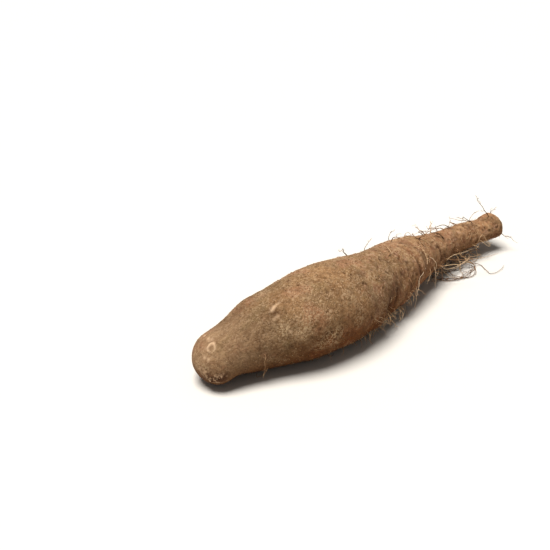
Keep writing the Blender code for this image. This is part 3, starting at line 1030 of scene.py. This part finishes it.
def make_soil_grains(material):
    """Make small rough grains of dry soil that stick to the skin, fewest at the tip."""
    draw = np.random.default_rng(SEED + 5)
    x = draw.uniform(GRAIN_FIRST_X, GRAIN_LAST_X, GRAIN_COUNT)
    angle = draw.uniform(0, 2 * math.pi, GRAIN_COUNT)
    share = np.where(x < TIP_ROUND / MM, draw.uniform(0.03, TIP_SHARE, GRAIN_COUNT), share_at(x * MM))
    plain = plain_form(share, angle)
    clumps = waves_at(plain, 9 * MM, offset=31.0) + 0.4 * waves_at(plain, 3 * MM, offset=33.0)
    thick = (0.25 + 0.75 * ramp(x, 10, 60)) * (1 - 0.45 * ramp(x, 96, 120))
    kept = draw.random(GRAIN_COUNT) < np.clip(0.55 + 1.1 * clumps, 0.08, 1) * thick
    share, angle, plain = share[kept], angle[kept], plain[kept]
    zones = skin_zones(plain, share)
    relief, _, _ = skin_relief(plain, zones)
    normal = outward(share, angle)
    centre = laid_on_ground(plain + normal * (body_height(plain) + relief)[:, None])
    count = len(centre)
    size = draw.uniform(*GRAIN_SIZE, (count, 1, 1)) * draw.uniform(0.6, 1.1, (count, 1, 3))
    corners = np.array([(i, j, k) for i in (-1, 1) for j in (-1, 1) for k in (-1, 1)], dtype=float)
    corners = corners[None] + draw.uniform(-0.45, 0.45, (count, 8, 3))
    corners = corners / np.linalg.norm(corners, axis=-1, keepdims=True) * size
    points = centre[:, None] + corners
    points[..., 2] = np.maximum(points[..., 2], 0.05 * MM)
    sides = np.array(((0, 1, 3, 2), (4, 6, 7, 5), (0, 4, 5, 1), (2, 3, 7, 6), (0, 2, 6, 4), (1, 5, 7, 3)))
    faces = (sides[None] + np.arange(count)[:, None, None] * 8).reshape(-1, 4).tolist()
    mesh_data = bpy.data.meshes.new("soil_grains")
    mesh_data.from_pydata(points.reshape(-1, 3), [], faces)
    add_values(mesh_data, "Tone", np.repeat(draw.random(count), 8))
    add_piece("soil_grains", mesh_data, material)


def srgb(red, green, blue):
    """Turn a colour as it looks on a screen, from 0 to 255, into the shader's own numbers."""
    shares = [value / 255 for value in (red, green, blue)]
    linear = [s / 12.92 if s <= 0.04045 else ((s + 0.055) / 1.055) ** 2.4 for s in shares]
    return (*linear, 1.0)


def lit(red, green, blue):
    """Give the surface colour that looks like this, from 0 to 255, under the scene's full light."""
    linear = srgb(red, green, blue)[:3]
    return (*(value / level for value, level in zip(linear, LIGHT_LEVEL)), 1.0)


class Shading:
    """A material's nodes, built from short calls that each give an output to go on with."""

    def __init__(self, name, roughness):
        self.material = bpy.data.materials.new(name)
        self.material.use_nodes = True
        self.tree = self.material.node_tree
        self.shader = self.tree.nodes["Principled BSDF"]
        self.shader.inputs["Roughness"].default_value = roughness
        self.shader.inputs["Specular IOR Level"].default_value = 0.15
        self.place = self.tree.nodes.new("ShaderNodeTexCoord").outputs["Object"]

    def put(self, socket, value):
        """Join an output to a socket, or set the socket to a plain value."""
        if isinstance(value, bpy.types.NodeSocket):
            self.tree.links.new(value, socket)
        else:
            socket.default_value = value

    def value(self, name):
        """Read the number that the mesh keeps under this name."""
        node = self.tree.nodes.new("ShaderNodeAttribute")
        node.attribute_name = name
        return node.outputs["Fac"]

    def stretched(self, x, y, z):
        """Stretch the place along the axes, so that what is drawn there is that much longer."""
        node = self.tree.nodes.new("ShaderNodeMapping")
        node.inputs["Scale"].default_value = (1 / x, 1 / y, 1 / z)
        self.put(node.inputs["Vector"], self.place)
        return node.outputs["Vector"]

    def noise(self, width, detail=2.0, roughness=0.5, place=None):
        """Give soft noise from 0 to 1 with features of this width in millimetres."""
        node = self.tree.nodes.new("ShaderNodeTexNoise")
        node.inputs["Scale"].default_value = 1 / (width * MM)
        node.inputs["Detail"].default_value = detail
        node.inputs["Roughness"].default_value = roughness
        self.put(node.inputs["Vector"], place or self.place)
        return node.outputs["Fac"]

    def grains(self, width):
        """Give each grain of this width in millimetres a random number, 0 to 1, and its rounded height."""
        shift = self.tree.nodes.new("ShaderNodeTexNoise")
        shift.inputs["Scale"].default_value = 1 / (width * MM)
        self.put(shift.inputs["Vector"], self.place)
        bent = self.tree.nodes.new("ShaderNodeVectorMath")
        bent.operation = "MULTIPLY_ADD"
        bent.inputs[1].default_value = (width * MM,) * 3
        self.put(bent.inputs[0], shift.outputs["Color"])
        self.put(bent.inputs[2], self.place)
        cells = self.tree.nodes.new("ShaderNodeTexVoronoi")
        cells.inputs["Scale"].default_value = 1 / (width * MM)
        self.put(cells.inputs["Vector"], bent.outputs["Vector"])
        split = self.tree.nodes.new("ShaderNodeSeparateColor")
        self.put(split.inputs["Color"], cells.outputs["Color"])
        return split.outputs["Red"], self.math("SUBTRACT", 1.0, cells.outputs["Distance"])

    def between(self, value, low, high, to_low=0.0, to_high=1.0):
        """Rise or fall smoothly from one number to another as the value goes from low to high."""
        node = self.tree.nodes.new("ShaderNodeMapRange")
        node.interpolation_type = "SMOOTHSTEP"
        numbers = (low, high, to_low, to_high)
        for name, number in zip(("From Min", "From Max", "To Min", "To Max"), numbers):
            node.inputs[name].default_value = number
        self.put(node.inputs["Value"], value)
        return node.outputs["Result"]

    def math(self, operation, first, second):
        """Combine two numbers."""
        node = self.tree.nodes.new("ShaderNodeMath")
        node.operation = operation
        self.put(node.inputs[0], first)
        self.put(node.inputs[1], second)
        return node.outputs[0]

    def times(self, first, second):
        """Multiply two numbers."""
        return self.math("MULTIPLY", first, second)

    def less(self, value, share):
        """Give 1 less this share of the value."""
        return self.math("SUBTRACT", 1.0, self.times(value, share))

    def stain(self, colour, mask, strength, tint):
        """Lay a tint over the colour where the mask is, up to this strength."""
        return self.mix(self.times(mask, strength), colour, tint)

    def mix(self, factor, first, second, blend="MIX"):
        """Blend two colours by a factor."""
        node = self.tree.nodes.new("ShaderNodeMix")
        node.data_type = "RGBA"
        node.blend_type = blend
        self.put(node.inputs["Factor"], factor)
        self.put(node.inputs["A"], first)
        self.put(node.inputs["B"], second)
        return node.outputs["Result"]

    def finish(self, colour, roughness=None, height=None, depth=0.0):
        """Join the colour, roughness and bump of this depth to the shader."""
        self.put(self.shader.inputs["Base Color"], colour)
        if roughness is not None:
            self.put(self.shader.inputs["Roughness"], roughness)
        if height is not None:
            bump = self.tree.nodes.new("ShaderNodeBump")
            bump.inputs["Strength"].default_value = 1.0
            bump.inputs["Distance"].default_value = depth
            self.put(bump.inputs["Height"], height)
            self.put(self.shader.inputs["Normal"], bump.outputs["Normal"])
        return self.material


# Colours as they look on a screen in full light, from 0 to 255
MIDDLE_BROWN = (150, 121, 90)
MIDDLE_TAN = (174, 136, 100)
MIDDLE_DARK = (126, 92, 64)
TIP_BROWN = (150, 116, 88)
TIP_TAN = (174, 141, 112)
TIP_STREAK = (198, 164, 130)
NECK_HOLLOW = (166, 123, 92)
NECK_MIDDLE = (175, 133, 100)
NECK_KNOB = (184, 145, 111)
RUST = (176, 106, 54)
PALE_GRAIN = (212, 182, 154)
DARK_GRAIN = (78, 48, 24)
DUST = (218, 190, 158)
PIT_DARK_AND_HOLLOW_SHADE = (76, 42, 16)
NUB_DARK = (88, 58, 42)
NUB_PALE = (196, 166, 142)
END_DARK = (58, 40, 28)
END_PALE = (122, 90, 64)
WORN_PALE = (234, 200, 172)
OLD_SKIN = (104, 80, 54)
STRAND_PALE = (232, 200, 166)
STRAND_BROWN = (164, 124, 94)
STRAND_DARK = (84, 58, 40)
SOIL_PALE = (204, 176, 142)
SOIL_BROWN = (146, 110, 78)
SOIL_DARK = (92, 64, 42)

# Patches on the skin: the width, detail and roughness of their noise, where a patch starts and is full, how
# strong it is, if only the calm part from the shoulder on has it, and its colour on a screen
SKIN_PATCHES = (
    (5.0, 3, 0.6, (0.52, 0.64), 0.65, True, (132, 84, 60)),
    (3.2, 2, 0.5, (0.56, 0.68), 0.60, True, (212, 170, 146)),
    (15, 2, 0.5, (0.54, 0.66), 0.45, False, (178, 128, 102)),
    (11, 2, 0.5, (0.55, 0.68), 0.40, False, (140, 116, 80)),
)


def skin_base(make, tip, neck):
    """Give the skin's main colours: tan at the tip, grey-brown in the middle, redder on the knobby neck."""
    broad = make.between(make.noise(24, 3), 0.38, 0.62)
    middling = make.between(make.noise(6, 3, 0.6), 0.32, 0.68)
    ridge = make.value("Ridge")
    middle_colour = make.mix(broad, lit(*MIDDLE_BROWN), lit(*MIDDLE_TAN))
    rough_middle = make.math("SUBTRACT", 0.6, make.times(make.value("Calm"), 0.3))
    middle_colour = make.mix(make.times(middling, rough_middle), middle_colour, lit(*MIDDLE_DARK))
    tip_colour = make.mix(middling, lit(*TIP_BROWN), lit(*TIP_TAN))
    neck_colour = make.mix(make.between(ridge, 0.10, 0.50), lit(*NECK_HOLLOW), lit(*NECK_MIDDLE))
    neck_colour = make.mix(make.between(ridge, 0.50, 0.90), neck_colour, lit(*NECK_KNOB))
    colour = make.mix(tip, middle_colour, tip_colour)
    colour = make.mix(neck, colour, neck_colour)
    for width, detail, roughness, edges, strength, calm_only, tint in SKIN_PATCHES:
        patch = make.between(make.noise(width, detail, roughness), *edges)
        if calm_only:
            patch = make.times(patch, make.value("Calm"))
        colour = make.stain(colour, patch, strength, lit(*tint))
    return make.stain(colour, make.value("Rust"), 0.6, lit(*RUST))


def skin_grains(make, colour, rough_skin):
    """Scatter pale and dark grains of two sizes, fainter in the middle, and give their height."""
    not_calm, not_tip = (make.math("SUBTRACT", 1.0, make.value(zone)) for zone in ("Calm", "Tip"))
    middle = make.times(not_calm, not_tip)
    rough_skin = make.times(rough_skin, make.less(middle, 0.30))
    darkest = make.times(rough_skin, make.less(make.value("Calm"), 0.45))
    dusty = make.times(rough_skin, make.between(make.noise(9, 2), 0.30, 0.65, 0.45, 1.0))
    coarse, coarse_height = make.grains(1.15)
    fine, fine_height = make.grains(0.62)
    for grain, pale_share, dark_share in ((coarse, 0.55, 0.48), (fine, 0.70, 0.58)):
        pale = make.times(make.between(grain, 0.66, 1.0), dusty)
        colour = make.stain(colour, pale, pale_share, lit(*PALE_GRAIN))
        dark = make.times(make.between(grain, 0.34, 0.0), darkest)
        colour = make.stain(colour, dark, dark_share, lit(*DARK_GRAIN))
    height = make.math("ADD", make.times(coarse_height, coarse), fine_height)
    return colour, height


def make_skin_material():
    """Shade the skin, with its grains, pits, scars and dust."""
    make = Shading("yam_skin_look", 0.9)
    tip, neck = make.value("Tip"), make.value("Neck")
    rough_skin = make.less(tip, 0.45)
    rough_skin = make.math("SUBTRACT", rough_skin, make.times(neck, 0.40))
    colour = skin_base(make, tip, neck)
    streaks = make.noise(2.0, 3, 0.6, make.stretched(4.0, 1.0, 1.0))
    streaks = make.times(make.between(streaks, 0.46, 0.64), make.times(tip, 0.5))
    colour = make.mix(streaks, colour, lit(*TIP_STREAK))
    colour, height = skin_grains(make, colour, rough_skin)

    colour = make.mix(1.0, colour, make.value("Light"), "MULTIPLY")
    # Painted shade on the lower sides, by how far the skin faces down
    colour = make.mix(make.value("PaintedShade"), colour, PAINTED_SHADE_TINT, "MULTIPLY")
    speck, _ = make.grains(0.85)
    specks = make.times(make.between(speck, 0.50, 0.62), make.value("Dust"))
    colour = make.stain(colour, specks, 0.8, lit(*DUST))
    # Dark pits and spots, and painted shade in the hollows, creases and folds
    colour = make.stain(colour, make.value("DarkMarksAndShade"), 0.9, lit(*PIT_DARK_AND_HOLLOW_SHADE))
    nub_grain, _ = make.grains(1.3)
    nub_colour = make.mix(make.between(nub_grain, 0.60, 0.78), lit(*NUB_DARK), lit(*NUB_PALE))
    colour = make.stain(colour, make.value("Nub"), 0.95, nub_colour)
    fine = make.noise(1.5, 3, 0.65)
    end_colour = make.mix(make.between(fine, 0.35, 0.65), lit(*END_DARK), lit(*END_PALE))
    colour = make.stain(colour, make.value("End"), 0.9, end_colour)
    colour = make.stain(colour, make.value("Pale"), 0.9, lit(*WORN_PALE))
    old = make.times(make.value("Old"), make.between(make.noise(4.0, 3, 0.6), 0.46, 0.60))
    colour = make.stain(colour, old, 0.6, lit(*OLD_SKIN))
    roughness = make.between(make.noise(6, 3, 0.6), 0.3, 0.7, 0.82, 0.96)
    bumpy = make.times(rough_skin, make.less(make.value("Calm"), 0.15))
    height = make.times(make.math("ADD", height, fine), bumpy)
    return make.finish(colour, roughness, height, 0.30 * MM)


def make_strand_material():
    """Shade the rootlets and hairs from pale straw to dark brown by how dry each one is, and paint light on
    those whose tone is below zero.
    """
    make = Shading("yam_rootlet_look", 0.85)
    patches = make.between(make.noise(2.5, 2), 0.3, 0.7, -0.18, 0.18)
    tone = make.math("ADD", make.value("Tone"), patches)
    # Painted light: below zero the tone brightens a strand past pale straw
    painted_light_pale = make.mix(make.between(tone, -0.4, 0.05), (0.68, 0.50, 0.33, 1.0), lit(*STRAND_PALE))
    pale = make.mix(make.between(tone, 0.0, 0.5), painted_light_pale, lit(*STRAND_BROWN))
    colour = make.mix(make.between(tone, 0.5, 1.0), pale, lit(*STRAND_DARK))
    return make.finish(colour)


def make_soil_material():
    """Shade the soil grains from pale dust to dark brown earth."""
    make = Shading("yam_soil_look", 0.95)
    tone = make.value("Tone")
    colour = make.mix(make.between(tone, 0.0, 0.6), lit(*SOIL_PALE), lit(*SOIL_BROWN))
    colour = make.mix(make.between(tone, 0.6, 1.0), colour, lit(*SOIL_DARK))
    return make.finish(colour)


# The stage: a plain pale floor and soft light from above
FLOOR_SIZE = 14.0
FLOOR_COLOUR = srgb(208, 202, 193)
AMBIENT = 0.20
KEY_STRENGTH = 5.4
KEY_SPREAD = 34.0
KEY_FROM = (-0.20, 0.08, 1.0)


def make_floor():
    """Lay a plain pale floor under the tuber."""
    half = FLOOR_SIZE / 2
    mesh_data = bpy.data.meshes.new("floor")
    corners = [(-half, -half, 0.0), (half, -half, 0.0), (half, half, 0.0), (-half, half, 0.0)]
    mesh_data.from_pydata(corners, [], [(0, 1, 2, 3)])
    material = bpy.data.materials.new("floor_look")
    material.use_nodes = True
    shader = material.node_tree.nodes["Principled BSDF"]
    shader.inputs["Base Color"].default_value = FLOOR_COLOUR
    shader.inputs["Roughness"].default_value = 0.9
    shader.inputs["Specular IOR Level"].default_value = 0.2
    mesh_data.materials.append(material)
    floor = bpy.data.objects.new("floor", mesh_data)
    bpy.context.scene.collection.objects.link(floor)


def make_lights():
    """Light the tuber softly from above, with a bright even surround."""
    scene = bpy.context.scene
    world = bpy.data.worlds.new("surround")
    world.use_nodes = True
    background = world.node_tree.nodes["Background"]
    background.inputs["Color"].default_value = (1.0, 1.0, 1.0, 1.0)
    background.inputs["Strength"].default_value = AMBIENT
    scene.world = world
    key_data = bpy.data.lights.new("key", "SUN")
    key_data.angle = math.radians(KEY_SPREAD)
    key_data.energy = KEY_STRENGTH
    key = bpy.data.objects.new("key", key_data)
    scene.collection.objects.link(key)
    key.rotation_euler = (-Vector(KEY_FROM)).to_track_quat("-Z", "Y").to_euler()


def make_camera():
    """Set the camera where the photograph was taken from."""
    camera_data = bpy.data.cameras.new("camera")
    camera_data.lens = LENS
    camera_data.sensor_width = SENSOR
    camera = bpy.data.objects.new("camera", camera_data)
    bpy.context.scene.collection.objects.link(camera)
    azimuth, elevation = math.radians(CAMERA_AZIMUTH), math.radians(CAMERA_ELEVATION)
    flat = math.cos(elevation)
    look = Vector((-math.sin(azimuth) * flat, math.cos(azimuth) * flat, -math.sin(elevation)))
    camera.location = Vector(CAMERA_FROM_TIP) - Vector((MIDDLE_X, MIDDLE_Y, 0.0))
    camera.rotation_euler = look.to_track_quat("-Z", "Y").to_euler()
    bpy.context.scene.camera = camera


def build_scene():
    """Build the tuber's looks and the stage."""
    strand_material = make_strand_material()
    make_skin(make_skin_material())
    make_rootlets(strand_material)
    make_hairs(strand_material)
    make_tangles(strand_material)
    make_soil_grains(make_soil_material())
    make_floor()
    make_lights()
    make_camera()
    bpy.context.scene.view_settings.view_transform = "Standard"


build_scene()
